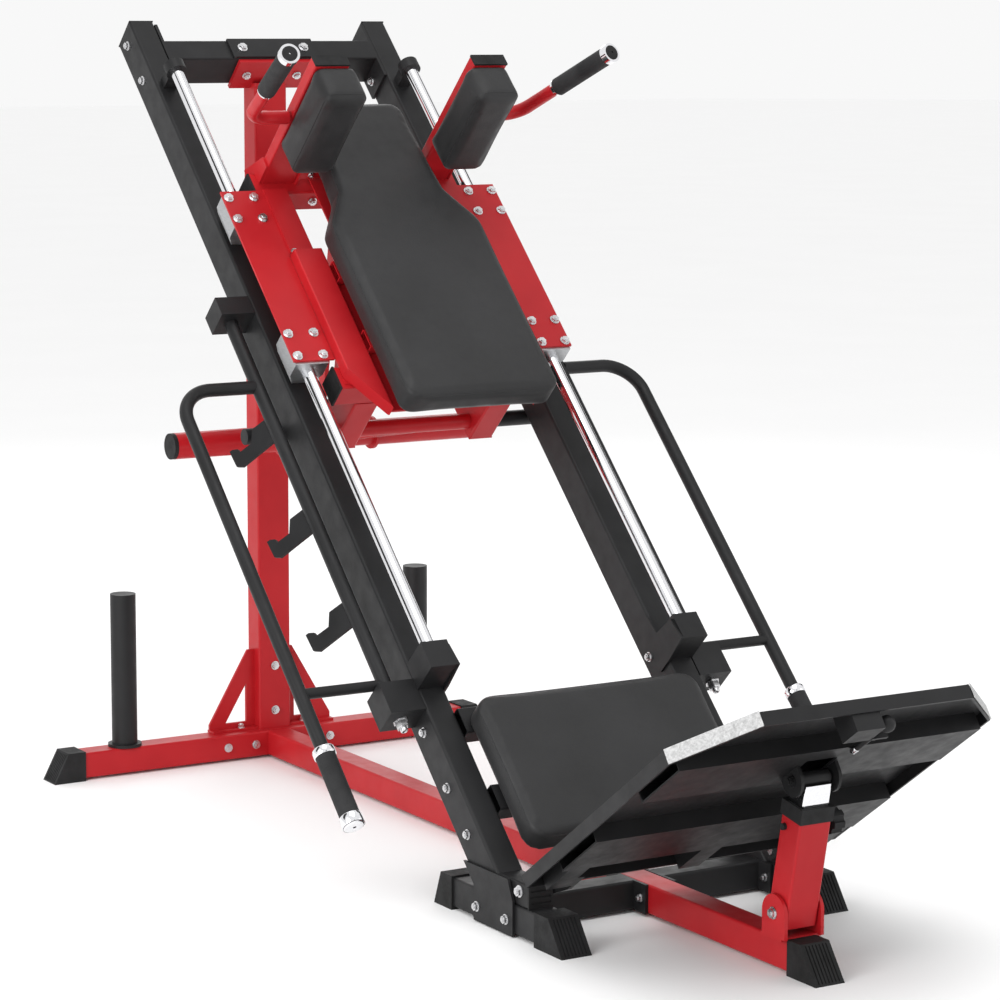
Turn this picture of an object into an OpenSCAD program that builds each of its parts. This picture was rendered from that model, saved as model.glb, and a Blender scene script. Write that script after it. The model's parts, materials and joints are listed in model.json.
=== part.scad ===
// Plate-loaded leg press machine with an inclined sliding carriage.
// Origin: floor level under the middle of the machine. +Z up, +Y towards the rear column,
// +X to the right-hand side. Millimetres.

/* [Rails and carriage] */
// Length of each inclined rail, measured along the slope to its top end
rail_top = 2072; // [2040:4:2088]
// Distance between the centre lines of the two guide rods
rod_gap = 510; // [506:1:514]
// Guide rod diameter
rod_d = 25; // [22:0.5:26]
// Wall of the carriage tubes
thin_wall = 2; // [1.5:0.25:3]

/* [Frame] */
// Wall of the structural tubes
wall = 2.5; // [2:0.25:3.5]
// Half length of the rear cross beam
rear_half = 425; // [400:5:430]
// Diameter of the plate storage posts and the weight horns
sleeve_d = 50; // [48:0.5:51]
// Height of the storage post tops above the floor
post_top = 358; // [300:2:400]

/* [Footplate] */
// Width of the footplate
plate_w = 612; // [580:4:620]
// Corner chamfer of the footplate
plate_cut = 110; // [80:5:130]
// Thickness of the footplate rim
plate_t = 23; // [20:1:25]

/* [Pads] */
// Thickness of the back pad
back_t = 54; // [45:1:56]
// Thickness of the seat pad
seat_t = 50; // [40:1:54]

/* [Hidden] */
$fn = 64;
slope_y = -497;               // where the rails' front plane meets the floor
rod_x = rod_gap / 2;          // rod and rail centre, each side
rod_n = 42;                   // rod axis in front of the rail face
rod_r = rod_d / 2;
sleeve_r = sleeve_d / 2;
fit = 0.06;                   // running clearance on radius
base_lo = 5;                  // base tube underside
base_hi = 55;                 // base tube top
bar_x = 319;                  // safety bar axis
bar_n = -29;
bar_r = 12.5;
open_deg = 31;                // hooks are drawn swung out by this much
peg_s = 1127;                 // lock peg axis
peg_n = -95;
peg_r = 14.5;
horn_s = 1322;                // weight horn axis, well behind the rails
horn_n = -369;
horn_half = 325;              // half length of the weight horn bar
hinge_y = -468;               // footplate hinge axis
hinge_z = 80;
plate_deg = 144.7;
leg_y = -830;                 // support leg base pivot
leg_z = 97;
leg_deg = 11.23;              // lean of the support leg
leg_len = 222.9;              // base pivot to top pivot
knob_t = 145;                 // clamp knob position along the leg
post_y = 927;
post_x = 329;

red = [0.75, 0.1, 0.12];
black = [0.16, 0.16, 0.17];
pad_black = [0.1, 0.1, 0.11];
steel = [0.8, 0.8, 0.82];
zinc = [0.7, 0.7, 0.72];
alu = [0.82, 0.83, 0.84];
rubber = [0.08, 0.08, 0.08];

// ---------- placing helpers ----------
// Slope frame: local Y runs up the rails, local Z stands off their front face.
module on_slope() translate([0, slope_y, 0]) rotate([45, 0, 0]) children();
// Footplate frame: local Y runs up the plate, local Z points out of its underside.
module on_plate() translate([0, hinge_y, hinge_z]) rotate([plate_deg, 0, 0]) children();
// Support leg frame: local Z runs up the leg from its base pivot.
module on_leg() translate([0, leg_y, leg_z]) rotate([leg_deg, 0, 0]) children();
module both() { children(); mirror([1, 0, 0]) children(); }
module side(s) { if (s > 0) children(); else mirror([1, 0, 0]) children(); }

// ---------- shape helpers ----------
module box(lo, hi) translate(lo) cube(hi - lo);
module rounded(w, h, r) hull()
    for (x = [r, w - r], y = [r, h - r]) translate([x, y]) circle(r, $fn = 24);
module rim2d(w, h, r, t) difference() {
    rounded(w, h, r);
    translate([t, t]) rounded(w - 2 * t, h - 2 * t, max(r - t, 0.5));
}
// Hollow rectangular tubes with rounded corners along each axis
module tube_x(lo, hi, t = wall, r = 4) translate([lo.x, lo.y, lo.z]) rotate([90, 0, 90])
    linear_extrude(hi.x - lo.x) rim2d(hi.y - lo.y, hi.z - lo.z, r, t);
module tube_y(lo, hi, t = wall, r = 4) translate([lo.x, hi.y, lo.z]) rotate([90, 0, 0])
    linear_extrude(hi.y - lo.y) rim2d(hi.x - lo.x, hi.z - lo.z, r, t);
module tube_z(lo, hi, t = wall, r = 4) translate(lo)
    linear_extrude(hi.z - lo.z) rim2d(hi.x - lo.x, hi.y - lo.y, r, t);
module rod_y(r, s0, s1) translate([0, s0, 0]) rotate([-90, 0, 0]) cylinder(r = r, h = s1 - s0);
module rod_x(r, x0, x1) translate([x0, 0, 0]) rotate([0, 90, 0]) cylinder(r = r, h = x1 - x0);
module pipe_y(r, ri, s0, s1) difference() {
    rod_y(r, s0, s1);
    rod_y(ri, s0 - 1, s1 + 1);
}
// Plate lying in a YZ plane between x0 and x1, outline given as [y, z] points
module plate_yz(x0, x1, pts) translate([x0, 0, 0]) rotate([90, 0, 90])
    linear_extrude(x1 - x0) polygon(pts);
module plate_xy(z0, z1, pts) translate([0, 0, z0]) linear_extrude(z1 - z0) polygon(pts);
// Hexagon bolt head with washer, standing on the XY plane
module bolt(r = 7) {
    cylinder(r = r * 1.25, h = 1.6, $fn = 24);
    translate([0, 0, 1.6]) cylinder(r = r, h = 5, $fn = 6);
    translate([0, 0, 6.6]) cylinder(r = r * 0.55, h = 2, $fn = 24);
}
module bolt_x(x, y, z, r = 7) translate([x, y, z]) rotate([0, 90, 0]) bolt(r);
module bolt_front(x, y, z, r = 7) translate([x, y, z]) rotate([90, 0, 0]) bolt(r);

// ---------- static frame ----------
module base_beam() color(red) tube_y([-25, -853, base_lo], [25, 902, base_hi]);

module rear_beam() color(red)
    tube_x([-rear_half, 902, base_lo], [rear_half, 952, base_hi]);

module column() color(red) {
    difference() {
        tube_z([-35, 920, base_hi], [35, 970, 1345]);
        on_slope() box([-60, 1962, -74], [60, 2200, 100]);
    }
    on_slope() box([-80, 1962, -74], [80, 1970, -2]);
}

module column_gussets() color(red) both() {
    translate([0, 948, 0]) rotate([90, 0, 0]) linear_extrude(6) difference() {
        polygon([[35, base_hi + 5], [136, base_hi + 5], [136, 70], [50, 216], [35, 216]]);
        polygon([[54, 70], [101, 70], [54, 148]]);
    }
    box([35, 925, base_hi], [136, 952, base_hi + 5]);
}

// Ribbed end foot: profile drawn in the plane of the tube, sloping face grooved top to bottom
module foot(w, len_top, len_bot, top) {
    lean = (len_bot - len_top) / top;
    difference() {
        translate([-w / 2, 0, 0]) rotate([90, 0, 90]) linear_extrude(w)
            polygon([[0, 0], [-len_bot, 0], [-len_top, top], [0, top]]);
        for (i = [-3 : 3]) translate([i * 6.5 - 1.2, 0, 0]) rotate([90, 0, 90])
            linear_extrude(2.4) polygon([[-len_bot + 3 * lean - 1, 3],
                [-len_top - 3 * lean - 1, top - 3], [-len_top - 3 * lean + 1.8, top - 3],
                [-len_bot + 3 * lean + 1.8, 3]]);
    }
}
module centre_feet() color(rubber) {
    translate([0, -853, 0]) foot(56, 34, 76, 58);
    for (s = [-1, 1]) translate([s * rear_half, 927, 0]) rotate([0, 0, s > 0 ? 90 : -90])
        foot(57, 36, 66, 58);
}
module side_feet() color(rubber) both() {
    translate([rod_x, -520, 0]) foot(57, 42, 84, 58);
    translate([rod_x, -261, 0]) rotate([0, 0, 180]) foot(57, 36, 58, 58);
}

module side_base(s) color(black) side(s)
    tube_y([rod_x - 25, -520, base_lo], [rod_x + 25, -261, base_hi]);
module side_base_left() side_base(-1);
module side_base_right() side_base(1);

module front_crossbar(s) color(black) side(s) {
    tube_x([31, -430, base_lo], [rod_x - 31, -380, base_hi]);
    for (x = [25, rod_x - 31]) box([x, -464, base_lo], [x + 6, -346, base_hi]);
}
module front_crossbar_left() front_crossbar(-1);
module front_crossbar_right() front_crossbar(1);

module rail(s) color(black) side(s) difference() {
    on_slope() tube_y([rod_x - 25, 0, -70], [rod_x + 25, rail_top - 2, 0], wall, 5);
    translate([0, -650, -200]) cube([400, 900, 200 + base_hi]);
}
module rail_left() rail(-1);
module rail_right() rail(1);

// Rail end caps and the ribbed plugs of the hinge blocks
module frame_end_caps() color(rubber) both() {
    on_slope() {
        box([rod_x - 25, rail_top - 2, -70], [rod_x + 25, rail_top, 0]);
        box([rod_x - 20, rail_top - 22, -65], [rod_x + 20, rail_top - 2, -5]);
    }
    difference() {
        box([rod_x - 23, -496, base_hi], [rod_x + 23, -492, 95]);
        for (z = [63, 73, 83]) box([rod_x - 19, -497, z], [rod_x + 19, -494, z + 3]);
    }
    box([rod_x - 19, -492, base_hi + 4], [rod_x + 19, -483, 91]);
}

module rail_shoes() color(black) both() plate_yz(rod_x + 25, rod_x + 30, [[-457, 2], [-335, 2],
    [-335, 62], [-302, 95], [-441, 95], [-457, 60]]);

module hinge_blocks() color(black) both() difference() {
    tube_y([rod_x - 23, -492, base_hi], [rod_x + 23, -393, 95], 3, 4);
    on_slope() box([0, -100, -200], [400, 400, 0]);
    translate([0, hinge_y, hinge_z]) rod_x(6 + fit, 200, 300);
}

module top_crossbar() color(black) on_slope() {
    tube_x([6 - (rod_x - 25), 1970, -70], [rod_x - 31, 2020, 0]);
    both() box([rod_x - 31, 1925, -70], [rod_x - 25, 2062, 0]);
    box([-92, 1971, 0], [92, 2019, 5]);
}

module rod(s) color(steel) side(s) on_slope() translate([rod_x, 0, rod_n])
    rod_y(rod_r, 530, 1908);
module rod_left() rod(-1);
module rod_right() rod(1);

module rod_collars() color(black) both() on_slope() difference() {
    union() {
        translate([rod_x, 0, rod_n]) rod_y(20, 1893, 1914);
        box([rod_x - 13, 1893, 0], [rod_x + 13, 1914, rod_n]);
    }
    translate([rod_x, 0, rod_n]) rod_y(rod_r + 0.02, 1890, 1908);
}
module rod_stops() color(black) both() on_slope() {
    difference() {
        box([rod_x - 25, 500, 0], [rod_x + 26, 552, 66]);
        translate([rod_x, 0, rod_n]) rod_y(rod_r + 0.02, 530, 560);
    }
    plate_yz(rod_x - 30, rod_x - 25, [[495, 8], [495, -30], [560, -58], [590, -25], [590, 4],
        [553, 8], [546, 60], [500, 66]]);
}

module storage_post(s) color(black) translate([s * post_x, post_y, 0]) {
    difference() {
        translate([0, 0, base_hi]) cylinder(r = sleeve_r, h = post_top - base_hi - 4);
        translate([0, 0, base_hi - 1]) cylinder(r = sleeve_r - wall, h = post_top);
    }
    difference() {
        translate([0, 0, base_hi]) cylinder(r = 33, h = 6);
        translate([0, 0, base_hi - 1]) cylinder(r = sleeve_r - 1, h = 10);
    }
    translate([0, 0, post_top - 4]) cylinder(r = sleeve_r, h = 4);
}
module storage_post_left() storage_post(-1);
module storage_post_right() storage_post(1);

module seat_tubes() color(black) on_slope() for (s = [244, 398])
    tube_x([25 - rod_x, s, -24], [rod_x - 25, s + 50, 12], 2);
module seat_pad() color(pad_black) on_slope() translate([-224, 154, 12])
    linear_extrude(seat_t) rounded(448, 284, 26);

module safety_blocks() color(black) both() on_slope() difference() {
    union() {
        box([rod_x + 25, 1334, -57], [347, 1374, 0]);
        box([rod_x + 25, 461, -57], [347, 523, 0]);
    }
    translate([bar_x, 0, bar_n]) rod_y(bar_r + fit, 400, 1366);
}

module leg_base_clevis() color(red) {
    box([-38, leg_y - 22, base_hi], [38, leg_y + 34, base_hi + 5]);
    both() difference() {
        union() {
            box([32, leg_y - 30, base_hi + 3.5], [38, leg_y + 30, leg_z]);
            translate([0, leg_y, leg_z]) rod_x(30, 32, 38);
        }
        translate([0, leg_y, leg_z]) rod_x(6 + fit, 0, 100);
    }
}

module frame_bolts() color(zinc) {
    both() {
        // rails, outer side
        on_slope() for (p = [[2042, -38], [1950, -38], [436, -35], [324, -35], [232, -35]])
            bolt_x(rod_x + 25, p[0], p[1]);
        on_slope() translate([rod_x - 31, 1950, -46]) rotate([0, -90, 0]) bolt();
        on_slope() translate([rod_x - 30, 535, -40]) rotate([0, -90, 0]) bolt();
        for (y = [-437, -346]) bolt_x(rod_x + 30, y, 27);
        // footplate hinge bolt
        translate([0, hinge_y, hinge_z]) {
            rod_x(6, 219, rod_x + 23);
            translate([rod_x + 23, 0, 0]) rotate([0, 90, 0]) bolt(8);
        }
        // crossbar flanges
        bolt_x(31, -449, 30, 6);
        translate([rod_x - 31, -449, 30]) rotate([0, -90, 0]) bolt(6);
        // column foot and rear beam
        translate([70, 934, base_hi + 5]) bolt(6);
        bolt_front(115, 902, 30);
        bolt_front(53, 902, 30);
        on_slope() translate([66.7, 1994, 5]) bolt(8);
        on_slope() translate([55, 1962, -37]) rotate([90, 0, 0]) bolt(7);
    }
    for (z = [92, 183]) bolt_front(0, 920, z);
    // support leg base pivot
    translate([0, leg_y, leg_z]) {
        rod_x(6, -38, 38);
        translate([-38, 0, 0]) rotate([0, -90, 0]) bolt(8);
        translate([38, 0, 0]) rotate([0, 90, 0]) bolt(8);
    }
}

// ---------- carriage ----------
module slide_plates() color(red) both() on_slope() {
    plate_xy(66, 70, [[209, 1162], [rod_x + 36, 1162], [rod_x + 36, 1566], [157, 1566],
        [157, 1406], [209, 1406]]);
    box([157, 1412, 70], [205, 1566, 74]);
}

module bearing_blocks() color(alu) both() on_slope() for (s = [1157, 1486]) difference() {
    translate([0, s + 74, 0]) rotate([90, 0, 0]) linear_extrude(74) polygon([[222, 66],
        [288, 66], [288, 34], [278, 14], [232, 14], [222, 34]]);
    translate([rod_x, 0, rod_n]) rod_y(rod_r + fit, s - 1, s + 75);
}

module carriage_channels() color(red) both() on_slope() {
    difference() {
        tube_y([150, 1020, 66], [208, 1404, 91], thin_wall, 3);
        translate([0, 0, 60]) linear_extrude(40) polygon([[148, 1000], [215, 1000], [215, 1137],
            [208, 1124], [150, 1030], [148, 1026]]);
    }
    translate([0, 0, 68]) linear_extrude(21) polygon([[206, 1121], [206, 1125.5], [152, 1038],
        [152, 1033.5]]);
}
module carriage_upper_cross() color(red) on_slope() {
    tube_x([-215, 1562, 16], [215, 1612, 66], thin_wall);
    tube_x([-149, 1323, 80], [149, 1364, 102], thin_wall, 3);
}
module carriage_lower_cross() color(red) on_slope() {
    tube_x([-215, 1100, 14], [215, 1150, 64], thin_wall);
    tube_x([-149, 1160, 80], [149, 1201, 102], thin_wall, 3);
    both() box([160, 1108, 64], [208, 1146, 66]);
}
module carriage_legs() color(red) both() on_slope() difference() {
    union() {
        tube_z([121, 1100, -114], [171, 1175, 14], wall);
        box([121, 1100, -116], [171, 1175, -114]);
    }
    translate([0, 1150, -36]) box([100, 0, 0], [200, 60, 100]);
}
module carriage_end_caps() color(rubber) both() on_slope() {
    for (p = [[1100, 14], [1562, 16]]) {
        box([215, p[0], p[1]], [219, p[0] + 50, p[1] + 50]);
        box([205, p[0] + 3, p[1] + 3], [215, p[0] + 47, p[1] + 47]);
    }
    box([130, 1586, 374], [200, 1610, 378]);
    box([133, 1589, 362], [197, 1607, 374]);
    translate([0, horn_s, horn_n]) {
        rod_x(sleeve_r - 0.3, horn_half, horn_half + 8);
        rod_x(sleeve_r - wall - 1, horn_half - 16, horn_half);
    }
}

module back_panel() color(red) on_slope() both() plate_xy(76, 79.9, [[0, 1030], [149, 1030],
    [149, 1352], [104, 1352], [104, 1600], [0, 1600]]);
module back_pad() color(pad_black) on_slope() translate([0, 0, 108]) linear_extrude(back_t)
    offset(r = 14, $fn = 32) offset(delta = -14) polygon([[-156, 1000], [156, 1000], [156, 1404],
        [110, 1482], [100, 1700], [-100, 1700], [-110, 1482], [-156, 1404]]);

module shoulder_uprights() color(red) both() on_slope() {
    tube_z([130, 1586, 66], [200, 1610, 374], thin_wall, 3);
    plate_yz(200, 204, [[1586, 66.1], [1586, 112], [1610, 112], [1643, 40], [1612.1, 40],
        [1612.1, 66.1]]);
    box([0, 1580, 84], [130, 1584, 106]);
    box([126, 1580, 66], [130, 1606, 106]);
}
module shoulder_pads() color(pad_black) both() on_slope() translate([117, 1585.9, 168])
    rotate([90, 0, 0]) linear_extrude(71) rounded(84, 206, 14);

// Bent handle: stub from the upright, bend, straight grip
module shoulder_handles() color(red) both() on_slope() translate([204, 1592, 237]) {
    rod_x(12.3, 0, 43);
    translate([41, 0, 0]) rotate([20, 0, 0]) translate([0, 0, 44]) rotate([90, 0, 0])
        rotate([0, 0, -90]) rotate_extrude(angle = 80) translate([44, 0]) circle(12.5);
    grip_line() translate([0, 0, -2]) cylinder(r = 12.3, h = 242);
}
module grip_line() translate([41, 0, 0]) rotate([20, 0, 0])
    translate([44 * sin(80), 0, 44 - 44 * cos(80)]) rotate([0, 10, 0]) children();
module on_grip() both() on_slope() translate([204, 1592, 237]) grip_line() children();
module shoulder_grips() color(rubber) on_grip() difference() {
    translate([0, 0, 91]) cylinder(r = 17, h = 142);
    cylinder(r = 12.32, h = 300);
}
module shoulder_caps() color(steel) on_grip() {
    difference() {
        translate([0, 0, 85]) cylinder(r = 16, h = 6);
        cylinder(r = 12.32, h = 300);
    }
    difference() {
        translate([0, 0, 233]) cylinder(r = 18.5, h = 13);
        translate([0, 0, 200]) cylinder(r = 12.32, h = 40);
    }
}

// Plate bar behind the rails, with its stop rings, carried by a pair of flat brackets that
// start from the cross rod between the carriage legs and reach up to the upper cross tube
module weight_horn_bar() color(red) on_slope() difference() {
    union() {
        translate([0, horn_s, horn_n]) {
            rod_x(sleeve_r - 0.6, -100, 100);
            both() rod_x(sleeve_r, 99, horn_half);
            both() rod_x(32, 96, 102);
        }
        translate([0, peg_s, peg_n]) rod_x(peg_r, -121, 121);
        both() plate_yz(14, 22, [[1138.4, -86.9], [1333.4, -360.9], [1310.6, -377.1],
            [1115.6, -103.1]]);
        both() plate_yz(14, 22, [[1334.4, -377.5], [1605.2, 16], [1568.7, 16], [1309.6, -360.5]]);
    }
    translate([0, horn_s, horn_n]) rod_x(sleeve_r - 0.6 - wall, -400, 400);
}
module lock_pegs() color(black) both() on_slope() translate([0, peg_s, peg_n])
    rod_x(peg_r, 171, 344.5);

module carriage_bolts() color(zinc) both() on_slope() {
    for (s = [1173, 1224, 1498, 1549], x = [rod_x - 25.5, rod_x + 25.5])
        translate([x, s, 70]) bolt(7.5);
    translate([202, 1404, 80]) rotate([-90, 0, 0]) bolt(6);
    translate([92, 1562, 42]) rotate([90, 0, 0]) bolt(7);
    translate([108, 1580, 95]) rotate([90, 0, 0]) bolt(5);
}

// ---------- safety mechanism ----------
// Local frame: bar axis on Y, handle towards +X, hooks drawn in the swung-out position
module safety_bar(s) color(black) side(s) on_slope() translate([bar_x, 0, bar_n]) {
    rod_y(bar_r, 462, 1364);
    for (top = [0, 202, 404]) rotate([0, -open_deg, 0]) translate([-3, peg_s - top, 0])
        rotate([90, 0, 90]) linear_extrude(6) polygon([[-8, -12], [-8, -42], [-31, -54],
            [-31, -82], [-23, -84], [-17, -94], [-17, -101], [-52, -99], [-60, -88], [-58, -12]]);
}
module safety_bar_left() safety_bar(-1);
module safety_bar_right() safety_bar(1);

module safety_handle(s) color(black) side(s) on_slope() translate([bar_x, 0, bar_n]) {
    difference() {
        translate([0, 1186, 0]) rod_x(12, 8, 95);
        rod_y(bar_r, 1100, 1250);
    }
    translate([95, 1120, 0]) rotate_extrude(angle = 90) translate([66, 0]) circle(12);
    translate([161, 0, 0]) rod_y(12, 290, 1120);
    difference() {
        translate([0, 535, 0]) rod_x(9.5, 8, 161);
        rod_y(bar_r, 500, 600);
    }
}
module safety_handle_left() safety_handle(-1);
module safety_handle_right() safety_handle(1);

module safety_grip(s) color(rubber) side(s) on_slope() translate([bar_x + 161, 0, bar_n]) {
    pipe_y(17.5, 12.02, 290, 415);
    pipe_y(17, 12.02, 415, 425);
    rod_y(19, 274, 290);
}
module safety_grip_left() safety_grip(-1);
module safety_grip_right() safety_grip(1);

// ---------- footplate ----------
function deck(w, v0, v1, c) = [[-w, v0], [w, v0], [w, v1 - c], [w - c, v1], [c - w, v1],
    [-w, v1 - c]];
module foot_plate() color(black) on_plate() difference() {
    plate_xy(-5, plate_t - 5, deck(plate_w / 2, 67, 661, plate_cut));
    plate_xy(-1, plate_t, deck(plate_w / 2 - 4, 71, 657, plate_cut - 1.7));
    both() box([220, 60, -6], [229, 73, plate_t]);
}
module foot_plate_frame() color(black) on_plate() {
    difference() {
        for (v = [[152, 273], [425, 545]]) box([-286, v[0], -1], [286, v[1], 28]);
        for (v = [[152, 273], [425, 545]]) box([-287, v[0] + 3, -2], [287, v[1] - 3, 25]);
        box([-29, 440, 20], [29, 508, 30]);
    }
    for (x = [-255, 0, 255]) difference() {
        box([x - 20, 73, -1], [x + 20, 152, 28]);
        box([x - 17, 76, -2], [x + 17, 149, 25]);
    }
    both() difference() {
        union() {
            plate_yz(221, 228, [[-14, -12], [14, -14], [72, -1], [110, -1], [110, 28], [60, 28],
                [10, 16], [-14, 10]]);
            box([228, 74, -1], [235, 110, 28]);
        }
        rod_x(6 + fit, 200, 300);
    }
}
module foot_plate_clevis() color(black) on_plate() {
    both() difference() {
        union() {
            box([33, 442, 28], [39, 492, 42]);
            translate([0, 467, 42]) rod_x(25, 33, 39);
        }
        box([0, 400, 0], [100, 540, 28]);
    }
    translate([0, 467, 42]) rod_x(6, -39, 39);
    both() translate([39, 467, 42]) rotate([0, 90, 0]) bolt(8);
}
module latch_block() color(black) on_plate() difference() {
    union() {
        box([-35, 612, -1], [18, 657, 45]);
        box([18, 612, 20], [48, 618, 46]);
    }
    translate([36, 0, 33]) rod_y(5 + fit, 600, 630);
}
module latch_lever() color(black) on_plate() translate([36, 0, 33]) {
    rod_y(5, 548, 640);
    rod_y(8, 596, 600);
    translate([0, 640, 0]) sphere(13.5);
}

// ---------- support leg ----------
module leg_outer_tube() color(red) on_leg() difference() {
    tube_z([-30, -25, -20], [30, 25, 158], 4, 4);
    rod_x(6 + fit, -50, 50);
    translate([0, 0, knob_t]) rod_x(5 + fit, 10, 50);
}
module leg_collar() color(rubber) on_leg() {
    difference() {
        box([-31.5, -27, 158], [31.5, 27, 183]);
        box([-25.6, -20.1, 150], [25.6, 20.1, 190]);
    }
    translate([0, 12, 141]) rod_x(5.5, -36, -30);
}
module leg_inner_tube() color(steel) on_leg() difference() {
    tube_z([-25, -19.5, 50], [25, 19.5, leg_len - 4], 2.5, 3);
    translate([0, 0, leg_len]) rod_x(13, -50, 50);
}
// The bore is oversize: the clevis pin has play in it
module leg_head_sleeve() color(black) on_leg() translate([0, 0, leg_len]) difference() {
    rod_x(13, -27, 27);
    rod_x(10, -28, 28);
}
module leg_star_knob() color(black) on_leg() translate([0, 0, knob_t]) {
    rod_x(5, 26, 44);
    rod_x(9, 30.5, 44);
    difference() {
        rod_x(20.5, 42, 62);
        for (a = [0 : 60 : 359]) rotate([a, 0, 0]) translate([0, 0, 24]) rod_x(7, 41, 63);
    }
}

base_beam();
rear_beam();
column();
column_gussets();
centre_feet();
side_feet();
side_base_left();
side_base_right();
front_crossbar_left();
front_crossbar_right();
rail_left();
rail_right();
frame_end_caps();
rail_shoes();
hinge_blocks();
top_crossbar();
rod_left();
rod_right();
rod_collars();
rod_stops();
storage_post_left();
storage_post_right();
seat_tubes();
seat_pad();
safety_blocks();
leg_base_clevis();
frame_bolts();
slide_plates();
bearing_blocks();
carriage_channels();
carriage_upper_cross();
carriage_lower_cross();
carriage_legs();
carriage_end_caps();
back_panel();
back_pad();
shoulder_uprights();
shoulder_pads();
shoulder_handles();
shoulder_grips();
shoulder_caps();
weight_horn_bar();
lock_pegs();
carriage_bolts();
safety_bar_left();
safety_handle_left();
safety_grip_left();
safety_bar_right();
safety_handle_right();
safety_grip_right();
foot_plate();
foot_plate_frame();
foot_plate_clevis();
latch_block();
latch_lever();
leg_outer_tube();
leg_collar();
leg_inner_tube();
leg_head_sleeve();
leg_star_knob();
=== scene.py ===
"""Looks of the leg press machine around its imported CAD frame. Metres, row frame."""
import json
import math

import bmesh
import bpy
from mathutils import Matrix, Vector
from mathutils.bvhtree import BVHTree


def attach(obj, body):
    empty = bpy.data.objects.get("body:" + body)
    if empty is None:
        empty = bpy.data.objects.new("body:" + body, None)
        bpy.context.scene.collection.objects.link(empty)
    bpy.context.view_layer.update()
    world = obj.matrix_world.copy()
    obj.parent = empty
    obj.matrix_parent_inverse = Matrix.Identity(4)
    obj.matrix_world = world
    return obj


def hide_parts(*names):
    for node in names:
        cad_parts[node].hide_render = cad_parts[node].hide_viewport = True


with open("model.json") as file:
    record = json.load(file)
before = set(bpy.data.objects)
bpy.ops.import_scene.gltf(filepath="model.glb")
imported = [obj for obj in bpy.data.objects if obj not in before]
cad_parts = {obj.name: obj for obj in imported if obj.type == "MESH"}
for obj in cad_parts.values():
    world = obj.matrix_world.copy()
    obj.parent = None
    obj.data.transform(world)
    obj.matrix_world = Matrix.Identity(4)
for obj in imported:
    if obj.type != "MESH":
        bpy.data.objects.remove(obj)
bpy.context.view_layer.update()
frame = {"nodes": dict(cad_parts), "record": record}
nodes = frame["nodes"]
slot_of = {s["node"]: s["material_slot"] for s in frame["record"]["subparts"]}

# ---------------------------------------------------------------- frames and sizes
SLOPE_Y = -0.497          # where the rails' front plane meets the floor
PLATE_HINGE = (0, -0.468, 0.08)
PLATE_TILT = 144.7
BAR_X, BAR_N = 319, -29   # safety bar axis: across the machine, and off the rails (mm)
GRIP_X = 480              # safety grip axis (mm)
LATCH_X, LATCH_N = 36, 33  # latch lever axis on the footplate (mm)
BACK_N, SEAT_N = 108.5, 12.5  # mounting planes of the back pad and the seat (mm)
BACK_DEPTH, SEAT_DEPTH, SHOULDER_DEPTH = 53, 49, 72
SHOULDER_S = 1.5854       # front face of the shoulder uprights, up the slope
HANDLE = (204, 1592, 237)  # where a shoulder handle leaves its upright (mm)
HANDLE_BEND, HANDLE_TURN = 44, 80  # bend radius (mm) and angle (degrees)
DECK_T = (-6.6, -5.05, 17.9)  # tread sheet: outer face, deck face, rim edge (mm)

SLOPE = Matrix.Translation((0, SLOPE_Y, 0)) @ Matrix.Rotation(math.radians(45), 4, "X")
PLATE = Matrix.Translation(PLATE_HINGE) @ Matrix.Rotation(math.radians(PLATE_TILT), 4, "X")


def mm(*p):
    return Vector([c / 1000 for c in p])


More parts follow.
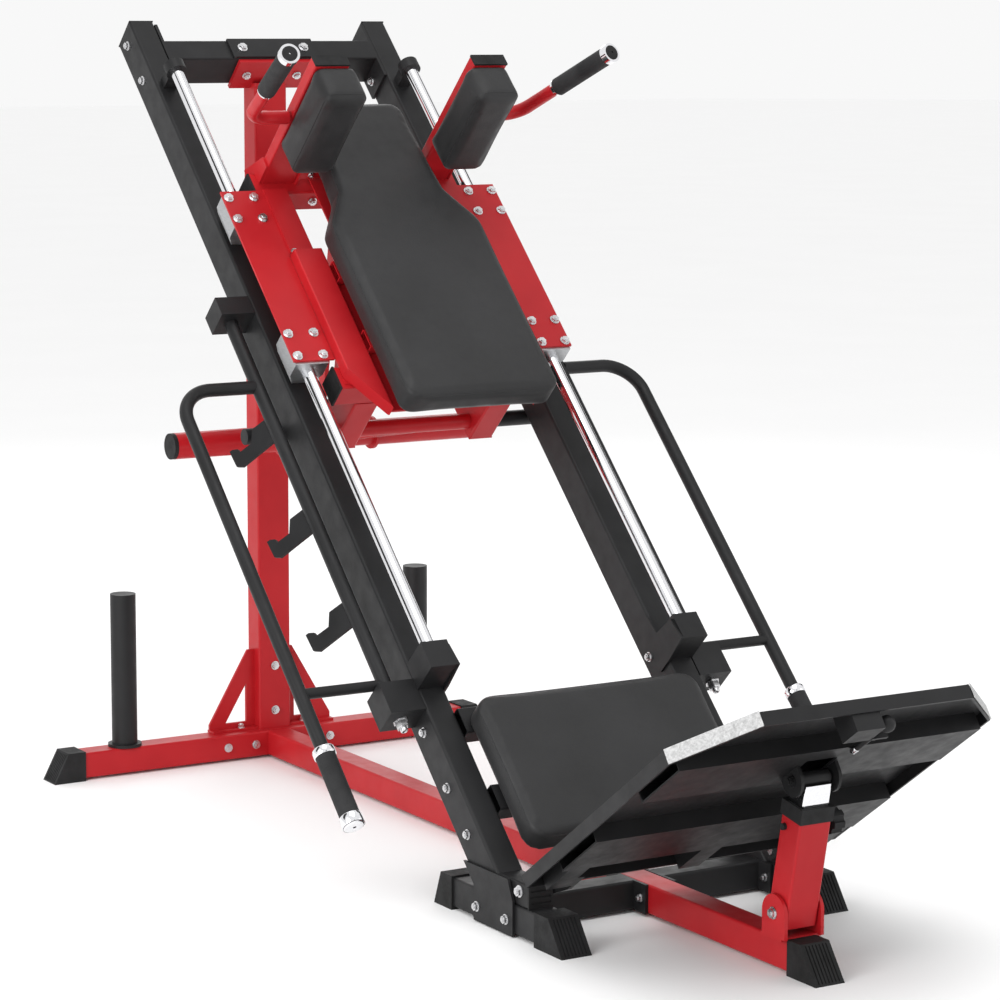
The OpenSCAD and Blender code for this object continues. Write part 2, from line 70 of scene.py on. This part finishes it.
# ---------------------------------------------------------------- materials
class Net:
    """A material's node tree with short helpers."""

    def __init__(self, name):
        self.mat = bpy.data.materials.new(name)
        self.mat.use_nodes = True
        self.nt = self.mat.node_tree
        self.bsdf = next(n for n in self.nt.nodes if n.type == "BSDF_PRINCIPLED")
        self.coord = self.node("ShaderNodeTexCoord").outputs["Object"]

    def node(self, kind, **props):
        n = self.nt.nodes.new(kind)
        for k, v in props.items():
            setattr(n, k, v)
        return n

    def link(self, a, b):
        self.nt.links.new(a, b)

    def set(self, **sockets):
        for k, v in sockets.items():
            self.bsdf.inputs[k.replace("_", " ")].default_value = v

    def noise(self, scale, detail=4.0, rough=0.55, stretch=None):
        n = self.node("ShaderNodeTexNoise")
        n.inputs["Scale"].default_value = scale
        n.inputs["Detail"].default_value = detail
        n.inputs["Roughness"].default_value = rough
        src = self.coord
        if stretch:
            m = self.node("ShaderNodeMapping")
            m.inputs["Scale"].default_value = stretch
            self.link(self.coord, m.inputs["Vector"])
            src = m.outputs["Vector"]
        self.link(src, n.inputs["Vector"])
        return n.outputs["Fac"]

    def cells(self, scale):
        n = self.node("ShaderNodeTexVoronoi")
        n.inputs["Scale"].default_value = scale
        self.link(self.coord, n.inputs["Vector"])
        return n.outputs["Distance"]

    def remap(self, value, lo, hi, src=(0.3, 0.7)):
        n = self.node("ShaderNodeMapRange")
        n.inputs["From Min"].default_value, n.inputs["From Max"].default_value = src
        n.inputs["To Min"].default_value, n.inputs["To Max"].default_value = lo, hi
        self.link(value, n.inputs["Value"])
        return n.outputs["Result"]

    def tint(self, value, dark, light, src=(0.35, 0.65)):
        n = self.node("ShaderNodeValToRGB")
        n.color_ramp.elements[0].position, n.color_ramp.elements[1].position = src
        n.color_ramp.elements[0].color = (*dark, 1)
        n.color_ramp.elements[1].color = (*light, 1)
        self.link(value, n.inputs["Fac"])
        self.link(n.outputs["Color"], self.bsdf.inputs["Base Color"])

    def rough(self, value, lo, hi):
        self.link(self.remap(value, lo, hi), self.bsdf.inputs["Roughness"])

    def bump(self, *layers):
        normal = None
        for value, strength, distance in layers:
            n = self.node("ShaderNodeBump")
            n.inputs["Strength"].default_value = strength
            n.inputs["Distance"].default_value = distance
            self.link(value, n.inputs["Height"])
            if normal:
                self.link(normal, n.inputs["Normal"])
            normal = n.outputs["Normal"]
        self.link(normal, self.bsdf.inputs["Normal"])


def powder(name, dark, light, rough, coat=0.06, spec=0.22):
    m = Net(name)
    broad, fine = m.noise(6, 3), m.noise(900, 2, 0.5)
    m.tint(broad, dark, light)
    m.rough(m.noise(35, 5), rough[0], rough[1])
    m.bump((fine, 0.12, 0.0004), (m.noise(260, 2), 0.05, 0.0006))
    m.set(Coat_Weight=coat, Coat_Roughness=0.25, Specular_IOR_Level=spec)
    return m.mat


def metal(name, dark, light, rough, stretch, bump=0.06):
    m = Net(name)
    grain = m.noise(70, 6, 0.6, stretch)
    m.tint(grain, dark, light, (0.3, 0.7))
    m.rough(grain, rough[0], rough[1])
    m.bump((grain, bump, 0.0002))
    m.set(Metallic=1.0)
    return m.mat


def rubber(name):
    m = Net(name)
    m.tint(m.noise(14, 5), (0.010, 0.010, 0.010), (0.017, 0.017, 0.018))
    m.rough(m.noise(60, 4), 0.55, 0.78)
    m.bump((m.noise(1400, 3, 0.6), 0.35, 0.0004))
    m.set(Specular_IOR_Level=0.25)
    return m.mat


def foam_grip(name):
    m = Net(name)
    m.tint(m.noise(20, 5), (0.012, 0.012, 0.013), (0.024, 0.024, 0.025))
    m.rough(m.noise(80, 4), 0.6, 0.85)
    m.bump((m.cells(420), 0.4, 0.0006), (m.noise(1600, 3), 0.2, 0.0003))
    m.set(Specular_IOR_Level=0.3)
    return m.mat


def upholstery(name):
    m = Net(name)
    m.tint(m.noise(5, 4), (0.0155, 0.0155, 0.016), (0.023, 0.023, 0.024))
    m.rough(m.noise(40, 5), 0.42, 0.6)
    m.bump((m.cells(520), 0.25, 0.0005), (m.noise(90, 6, 0.6), 0.12, 0.001))
    m.set(Specular_IOR_Level=0.32, Sheen_Weight=0.03, Sheen_Roughness=0.5)
    return m.mat


def tread_metal(name):
    m = Net(name)
    m.tint(m.noise(260, 5, 0.7), (0.34, 0.34, 0.34), (0.56, 0.56, 0.56))
    m.rough(m.noise(120, 4), 0.45, 0.7)
    m.bump((m.noise(700, 3, 0.6), 0.5, 0.0006))
    m.set(Metallic=0.45)
    return m.mat


RED = powder("red_paint", (0.42, 0.010, 0.015), (0.49, 0.015, 0.020), (0.32, 0.45))
BLACK = powder("black_paint", (0.011, 0.011, 0.0115), (0.017, 0.017, 0.018), (0.38, 0.55), 0.04)
ALU = metal("aluminium_block", (0.42, 0.43, 0.44), (0.58, 0.59, 0.60), (0.3, 0.48), (1, 1, 12))
ZINC = metal("zinc_bolt", (0.55, 0.55, 0.56), (0.78, 0.78, 0.79), (0.2, 0.36), (1, 1, 1), 0.1)
CHROME = metal("chrome_bar", (0.78, 0.78, 0.8), (0.9, 0.9, 0.92), (0.05, 0.12), (6, 6, 6), 0.01)
RUBBER = rubber("rubber_black")
GRIP = foam_grip("grip_rubber")
PAD = upholstery("pad_vinyl")
TREAD = tread_metal("tread_sheet")
LOOK = {
    "red_powder_coat": RED, "black_powder_coat": BLACK, "bare_aluminium": ALU,
    "zinc_fasteners": ZINC, "chromed_steel": CHROME, "black_rubber": RUBBER,
    "black_upholstery": PAD,
}
GRIPS = {"shoulder_grips", "safety_grip_left", "safety_grip_right"}

for name, obj in nodes.items():
    mat = GRIP if name in GRIPS else LOOK[slot_of[name]]
    for i in range(len(obj.material_slots)):
        obj.material_slots[i].material = mat


# ---------------------------------------------------------------- mesh helpers
def make(name, bm, mat, body, angle=35):
    """Turns bm into a piece that rides a body and carries a material slot."""
    bmesh.ops.recalc_face_normals(bm, faces=bm.faces)
    me = bpy.data.meshes.new(name)
    bm.to_mesh(me)
    bm.free()
    me.materials.append(mat)
    me.shade_smooth()
    me.set_sharp_from_angle(angle=math.radians(angle))
    ob = bpy.data.objects.new(name, me)
    bpy.context.scene.collection.objects.link(ob)
    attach(ob, body)
    return ob


def bead_loop(bm, pts, r, sides):
    """A round bead of radius r along the closed line pts (world metres)."""
    n = len(pts)
    rings = []
    for i, p in enumerate(pts):
        t = (pts[(i + 1) % n] - pts[(i - 1) % n]).normalized()
        u = t.orthogonal().normalized() if i == 0 else (u - t * u.dot(t)).normalized()
        v = t.cross(u)
        rings.append([bm.verts.new(p + (u * math.cos(k) + v * math.sin(k)) * r)
                      for k in (2 * math.pi * j / sides for j in range(sides))])
    for i in range(n):
        ra, rb = rings[i], rings[(i + 1) % n]
        shift = 0
        if i == n - 1:
            shift = min(range(sides), key=lambda s: (rb[s].co - ra[0].co).length)
        for j in range(sides):
            bm.faces.new((ra[j], ra[(j + 1) % sides], rb[(j + 1 + shift) % sides],
                          rb[(j + shift) % sides]))


def rounded_outline(pts, radii, seg=6):
    """Corner-rounded closed polygon; pts as (a, b) pairs in millimetres."""
    out = []
    n = len(pts)
    for i, p in enumerate(pts):
        p = Vector(p)
        a, b = Vector(pts[i - 1]) - p, Vector(pts[(i + 1) % n]) - p
        r = radii if isinstance(radii, (int, float)) else radii[i]
        half = a.angle(b) / 2
        cut = min(r / math.tan(half), a.length * 0.49, b.length * 0.49)
        rr = cut * math.tan(half)
        centre = p + (a.normalized() + b.normalized()).normalized() * (rr / math.sin(half))
        s, e = p + a.normalized() * cut - centre, p + b.normalized() * cut - centre
        for k in range(seg + 1):
            t = k / seg
            d = (s * (1 - t) + e * t)
            out.append(centre + d.normalized() * rr)
    return out


# ---------------------------------------------------------------- pads
BEAD_R = 0.0011           # radius of the sewn beads
VOXEL = 0.0045            # mesh size of the foam
PUFF_FRAMES = 14


def pad_body(name, outline, depth, place, body, cad, inset=-0.5, cap=0.0022):
    """Foam pad: rounded slab remeshed, puffed as cloth, then smoothed.

    outline lies in the pad's own plane and depth runs along local +Z, both in mm; inset
    draws the walls in from the outline, and cap is the most the foam may puff (m)."""
    bm = bmesh.new()
    levels = [(0.0, inset + 2), (2.0, inset + 0.5), (5.0, inset), (depth * 0.6, inset),
              (depth - 6.0, inset), (depth - 2.5, inset + 2), (depth - 0.5, inset + 6),
              (depth, inset + 12)]
    centre = sum((Vector(p) for p in outline), Vector((0, 0))) / len(outline)
    rings = []
    for z, shrink in levels:
        ring = []
        for i, p in enumerate(outline):
            t = (outline[(i + 1) % len(outline)] - outline[i - 1]).normalized()
            inward = Vector((-t.y, t.x))
            if inward.dot(centre - p) < 0:
                inward = -inward
            q = p + inward * shrink
            ring.append(bm.verts.new(mm(q.x, q.y, z)))
        rings.append(ring)
    n = len(outline)
    for a, b in zip(rings, rings[1:]):
        for i in range(n):
            bm.faces.new((a[i], a[(i + 1) % n], b[(i + 1) % n], b[i]))
    bm.faces.new(list(reversed(rings[0])))
    bm.faces.new(rings[-1])
    ob = make(name, bm, PAD, body)
    ob.data.transform(place)
    bpy.context.view_layer.objects.active = ob
    mod = ob.modifiers.new("remesh", "REMESH")
    mod.mode, mod.voxel_size, mod.use_smooth_shade = "VOXEL", VOXEL, True
    bake(ob)
    puff(ob, cap, place)
    mod = ob.modifiers.new("smooth", "CORRECTIVE_SMOOTH")
    mod.iterations, mod.use_only_smooth, mod.factor = 3, True, 0.4
    mod = ob.modifiers.new("sub", "SUBSURF")
    mod.levels = mod.render_levels = 1
    bake(ob)
    ob.data.shade_smooth()
    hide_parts(cad)
    return ob


def bake(ob):
    """Writes the evaluated mesh back and drops the modifiers."""
    deps = bpy.context.evaluated_depsgraph_get()
    me = bpy.data.meshes.new_from_object(ob.evaluated_get(deps))
    ob.modifiers.clear()
    old = ob.data
    ob.data = me
    bpy.data.meshes.remove(old)


def puff(ob, cap, place):
    """Cloth pressure for a few frames, movement capped, the mounting side held flat."""
    inverse = place.inverted()
    rest = [v.co.copy() for v in ob.data.vertices]
    mod = ob.modifiers.new("cloth", "CLOTH")
    s = mod.settings
    s.use_pressure, s.uniform_pressure_force = True, 2.5
    s.quality, s.mass = 5, 0.3
    s.tension_stiffness = s.compression_stiffness = 30
    s.effector_weights.gravity = 0
    mod.point_cache.frame_start, mod.point_cache.frame_end = 1, PUFF_FRAMES
    scene = bpy.context.scene
    for f in range(1, PUFF_FRAMES + 1):
        scene.frame_set(f)
    deps = bpy.context.evaluated_depsgraph_get()
    moved = [v.co.copy() for v in ob.evaluated_get(deps).data.vertices]
    ob.modifiers.clear()
    scene.frame_set(1)
    floor = min((inverse @ p).z for p in rest)
    for v, a, b in zip(ob.data.vertices, rest, moved):
        d = b - a
        if d.length > cap:
            d = d.normalized() * cap
        local = inverse @ (a + d)
        local.z = max(local.z, floor)
        v.co = place @ local


def piping(pad, name, outline, z, place, body):
    """Narrow sewn bead half sunk in the pad's own surface, following its outline."""
    tree = BVHTree.FromPolygons([v.co.copy() for v in pad.data.vertices],
                                [tuple(f.vertices) for f in pad.data.polygons])
    pts = [tree.find_nearest(place @ mm(q.x, q.y, z))[0] for q in outline]
    for _ in range(2):
        n = len(pts)
        pts = [(pts[i - 1] + pts[i] * 2 + pts[(i + 1) % n]) / 4 for i in range(n)]
    bm = bmesh.new()
    bead_loop(bm, pts, BEAD_R, 8)
    return make(name, bm, PAD, body, angle=60)


def dense(outline, step=12.0):
    """The closed outline with points added about every step millimetres."""
    out = []
    for i, p in enumerate(outline):
        q = outline[(i + 1) % len(outline)]
        k = max(1, int((q - p).length / step))
        out += [p + (q - p) * (j / k) for j in range(k)]
    return out


BACK = [(-156, 998), (156, 998), (156, 1404), (110, 1482), (100, 1700), (-100, 1700),
        (-110, 1482), (-156, 1404)]
back_line = dense(rounded_outline(BACK, [24, 24, 50, 50, 26, 26, 50, 50]))
SEAT = [(-222, 156), (222, 156), (222, 437), (-222, 437)]
seat_line = dense(rounded_outline(SEAT, 30))
SHOULDER = [(117, 168), (201, 168), (201, 374), (117, 374)]
at_back = SLOPE @ Matrix.Translation(mm(0, 0, BACK_N))
at_seat = SLOPE @ Matrix.Translation(mm(0, 0, SEAT_N))
back = pad_body("back_cushion", back_line, BACK_DEPTH, at_back, "carriage", "back_pad")
seat = pad_body("seat_cushion", seat_line, SEAT_DEPTH, at_seat, "frame", "seat_pad")
piping(back, "back_piping", back_line, BACK_DEPTH - 6, at_back, "carriage")
piping(seat, "seat_piping", seat_line, SEAT_DEPTH - 6, at_seat, "frame")

for side, tag in ((-1, "left"), (1, "right")):
    line = dense(rounded_outline([(side * a, b) for a, b in SHOULDER], 16), 8)
    # local X, Y are the slope's X and normal; local Z runs down the slope from the upright
    place = SLOPE @ Matrix(((1, 0, 0, 0), (0, 0, -1, SHOULDER_S), (0, 1, 0, 0), (0, 0, 0, 1)))
    shoulder = pad_body("shoulder_cushion_" + tag, line, SHOULDER_DEPTH, place, "carriage",
                        "shoulder_pads", inset=-1.0)
    piping(shoulder, "shoulder_piping_" + tag, line, SHOULDER_DEPTH - 6, place, "carriage")


# ---------------------------------------------------------------- small metal parts
def lathe(name, profile, place, mat, body, sides=40):
    """Solid turned about local Z from (z, radius) pairs in millimetres."""
    bm = bmesh.new()
    rings = []
    turns = [2 * math.pi * k / sides for k in range(sides)]
    for z, r in profile:
        rings.append([bm.verts.new(place @ mm(r * math.cos(k), r * math.sin(k), z))
                      for k in turns])
    for a, b in zip(rings, rings[1:] + rings[:1]):
        for k in range(sides):
            bm.faces.new((a[k], a[(k + 1) % sides], b[(k + 1) % sides], b[k]))
    return make(name, bm, mat, body)


def slab(name, outline, z0, z1, place, mat, body, bevel=0.0004):
    """Flat sheet with softened edges; outline in mm in the XY plane of place."""
    bm = bmesh.new()
    low = [bm.verts.new(place @ mm(x, y, z0)) for x, y in outline]
    high = [bm.verts.new(place @ mm(x, y, z1)) for x, y in outline]
    n = len(outline)
    bm.faces.new(list(reversed(low)))
    bm.faces.new(high)
    for i in range(n):
        bm.faces.new((low[i], low[(i + 1) % n], high[(i + 1) % n], high[i]))
    bmesh.ops.bevel(bm, geom=list(bm.edges), offset=bevel, segments=2, affect="EDGES")
    return make(name, bm, mat, body)


ALONG = Matrix.Rotation(math.radians(-90), 4, "X")     # local Z onto local Y


def grip_trim(side, tag):
    """Chrome ring and end cap of one safety grip, and the nut under its bar."""
    body = "safety_" + tag
    at_grip = SLOPE @ Matrix.Translation(mm(side * GRIP_X, 0, BAR_N)) @ ALONG
    lathe("grip_ring_" + tag, [(410, 17.3), (410, 18.6), (411.2, 19.4), (423, 19.4),
          (424.6, 18.4), (426, 16.6), (426, 15)], at_grip, CHROME, body)
    lathe("grip_cap_" + tag, [(272, 3), (271.6, 12), (272.2, 16), (274, 18.6), (276, 19.5),
          (292, 19.5), (293.4, 18.8), (294, 17.4), (288, 12), (280, 3)], at_grip, CHROME, body)
    at_bar = SLOPE @ Matrix.Translation(mm(side * BAR_X, 0, BAR_N)) @ ALONG
    lathe("bar_nut_" + tag, [(447, 6), (446, 9.5), (447.4, 11.2), (458.6, 11.2), (459, 14),
          (461.4, 14), (461.4, 6)], at_bar, ZINC, body, 6)
    lathe("bar_stud_" + tag, [(462, 3), (440, 3), (438.6, 4.2), (438.6, 5), (440, 6.4),
          (462, 6.4)], at_bar, ZINC, body)


def handle_plug(side, tag):
    """Dark plug set into the chromed end cap of one shoulder handle."""
    turn = math.radians(HANDLE_TURN)
    root = SLOPE @ Matrix.Translation(mm(side * HANDLE[0], HANDLE[1], HANDLE[2]))
    bend = root @ Matrix.Translation(mm(side * 41, 0, 0)) @ Matrix.Rotation(
        math.radians(20), 4, "X")
    reach = mm(side * HANDLE_BEND * math.sin(turn), 0, HANDLE_BEND - HANDLE_BEND * math.cos(turn))
    lean = Matrix.Rotation(math.radians(side * 10), 4, "Y")
    lathe("handle_plug_" + tag, [(244, 2), (244, 14), (246.6, 14), (247.4, 12.6), (247.9, 9),
          (248, 2)], bend @ Matrix.Translation(reach) @ lean, RUBBER, "carriage")


for side, tag in ((-1, "left"), (1, "right")):
    grip_trim(side, tag)
    handle_plug(side, tag)

at_latch = PLATE @ Matrix.Translation(mm(LATCH_X, 0, LATCH_N)) @ ALONG
lathe("latch_tip", [(552, 2), (538.6, 2), (537.4, 3), (537.6, 4.4), (539, 5.4), (551, 5.5),
      (552, 5.2)], at_latch, CHROME, "latch", 28)

# tread sheet on the foot side of the footplate, folded over both chamfered edges
TREAD_EDGE = [(-298, 74), (298, 74), (298, 550), (305.2, 551), (196.6, 660.2), (196, 653),
              (-196, 653), (-196.6, 660.2), (-305.2, 551), (-298, 550)]
slab("tread_face", TREAD_EDGE, DECK_T[0], DECK_T[1], PLATE, TREAD, "footplate")
for side, tag in ((-1, "left"), (1, "right")):
    a, b = Vector((side * 306.1, 552.2)), Vector((side * 197.8, 661.1))
    out = Vector((side, 1)).normalized() * 1.3
    fold = [a, b, b + out, a + out] if side > 0 else [b, a, a + out, b + out]
    slab("tread_fold_" + tag, fold, DECK_T[0], DECK_T[2], PLATE, TREAD, "footplate")


# ---------------------------------------------------------------- floor, light, camera
def flat(name, size, paint):
    """A staged flat card or floor of the given width and depth (m)."""
    bm = bmesh.new()
    bmesh.ops.create_grid(bm, x_segments=4, y_segments=4, size=0.5)
    bmesh.ops.scale(bm, vec=(size[0], size[1], 1), verts=bm.verts)
    me = bpy.data.meshes.new(name)
    bm.to_mesh(me)
    bm.free()
    me.materials.append(paint)
    ob = bpy.data.objects.new(name, me)
    bpy.context.scene.collection.objects.link(ob)
    return ob


def aim(ob, where, at=(0, 0, 0.7)):
    """Puts ob at where, facing the middle of the machine."""
    ob.location = where
    ob.rotation_euler = (Vector(at) - Vector(where)).to_track_quat("-Z", "Y").to_euler()


def studio():
    m = Net("floor_paint")
    m.tint(m.noise(1.5, 3), (0.97, 0.97, 0.97), (0.98, 0.98, 0.98))
    m.rough(m.noise(9, 4), 0.85, 0.9)
    m.set(Specular_IOR_Level=0.1)
    flat("floor", (90, 90), m.mat)
    # dark cards seen only in reflections: they draw the streaks on the chromed rods
    dark = Net("card_paint")
    dark.tint(dark.noise(2, 2), (0.01, 0.01, 0.01), (0.02, 0.02, 0.02))
    dark.rough(dark.noise(5, 2), 0.9, 0.95)
    for name, where, size in (("card_left", (-3.4, 1.5, 2.5), (1.3, 3.0)),
                              ("card_right", (3.4, 1.5, 2.5), (1.3, 3.0)),
                              ("card_front", (-1.0, -5.6, 3.8), (1.0, 2.6))):
        card = flat(name, size, dark.mat)
        aim(card, where)
        card.visible_camera = card.visible_diffuse = card.visible_shadow = False
    world = bpy.data.worlds.new("studio")
    world.use_nodes = True
    world.node_tree.nodes["Background"].inputs[0].default_value = (1, 1, 1, 1)
    world.node_tree.nodes["Background"].inputs[1].default_value = 0.94
    bpy.context.scene.world = world
    for name, where, size, power in (
        ("key", (-4.4, -1.4, 2.0), 2.6, 105), ("top", (-0.6, -0.8, 5.2), 3.0, 55),
        ("fill", (3.4, -3.2, 2.2), 2.6, 12), ("rim", (2.0, 4.0, 3.0), 2.4, 30),
    ):
        light = bpy.data.lights.new(name, "AREA")
        light.shape, light.size, light.energy = "SQUARE", size, power
        ob = bpy.data.objects.new(name, light)
        aim(ob, where)
        bpy.context.scene.collection.objects.link(ob)


def camera():
    cam = bpy.data.cameras.new("camera")
    cam.sensor_width, cam.lens = 36, 117.1944
    cam.clip_end = 60
    ob = bpy.data.objects.new("camera", cam)
    ob.location = (-2.96294, -4.80348, 1.47339)
    look = Matrix.Rotation(math.radians(-31.39), 4, "Z") @ Matrix.Rotation(
        math.radians(90 - 8.43), 4, "X") @ Matrix.Rotation(math.radians(0.18), 4, "Z")
    ob.rotation_euler = look.to_euler()
    bpy.context.scene.collection.objects.link(ob)
    bpy.context.scene.camera = ob


studio()
camera()
bpy.context.scene.view_settings.view_transform = "Standard"
